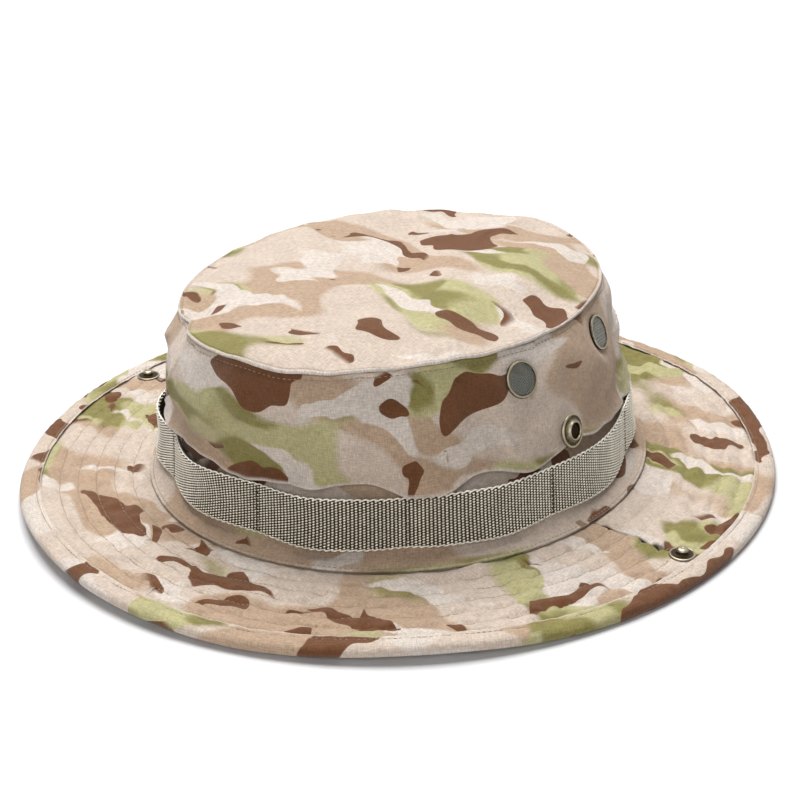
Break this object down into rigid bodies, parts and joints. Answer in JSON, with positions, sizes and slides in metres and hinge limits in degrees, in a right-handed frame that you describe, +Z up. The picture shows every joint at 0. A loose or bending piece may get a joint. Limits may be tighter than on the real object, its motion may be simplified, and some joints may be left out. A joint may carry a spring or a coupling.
{
  "type": "boonie hat",
  "caption": "Soft boonie hat: oval crown with screened vents, webbing loops round a collar band, and a quilted round brim whose sides fold up and snap to the crown.",
  "frame": {"origin": "on the ground under the middle of the brim, where the hat stands", "axes": "+Z up through the crown, -Y to the front, +X to the right-hand side as seen from the front"},
  "size_m": [0.3102, 0.3236, 0.0875],
  "materials": {
    "printed_cloth": "matte printed ripstop cotton",
    "plain_cloth": "matte cotton lining",
    "stiffener": "matte woven stiffener",
    "webbing": "coarse woven nylon",
    "antique_metal": "darkened antique plate",
    "screen_metal": "dull wire screen"
  },
  "bodies": {
    "crown_and_brim": {"crown_top": "printed_cloth", "crown_side": "printed_cloth", "collar_band": "printed_cloth", "brim_front_upper": "printed_cloth", "brim_front_lower": "printed_cloth", "brim_front_binding": "printed_cloth", "brim_back_upper": "printed_cloth", "brim_back_lower": "printed_cloth", "brim_back_binding": "printed_cloth", "sweatband": "plain_cloth", "webbing_band": "webbing", "brim_front_lining": "stiffener", "brim_back_lining": "stiffener", "vent_rims": "antique_metal", "vent_washers": "antique_metal", "vent_screens": "screen_metal", "right_snap_socket": "antique_metal", "right_socket_rivet": "antique_metal", "left_snap_socket": "antique_metal", "left_socket_rivet": "antique_metal"},
    "right_flap": {"right_flap_upper": "printed_cloth", "right_flap_lining": "stiffener", "right_flap_lower": "printed_cloth", "right_flap_binding": "printed_cloth", "right_snap_stud": "antique_metal", "right_stud_rivet": "antique_metal"},
    "left_flap": {"left_flap_upper": "printed_cloth", "left_flap_lining": "stiffener", "left_flap_lower": "printed_cloth", "left_flap_binding": "printed_cloth", "left_snap_stud": "antique_metal", "left_stud_rivet": "antique_metal"}
  },
  "joints": [
    {"name": "right_side_fold", "type": "hinge", "parent": "crown_and_brim", "child": "right_flap", "pos_m": [0.1025, 0, 0.00572], "axis": [0, -1, 0], "range_deg": [0, 104.5], "stiffness_Nm_per_rad": 0.008},
    {"name": "left_side_fold", "type": "hinge", "parent": "crown_and_brim", "child": "left_flap", "pos_m": [-0.1025, 0, 0.00572], "axis": [0, 1, 0], "range_deg": [0, 104.5], "stiffness_Nm_per_rad": 0.008}
  ]
}
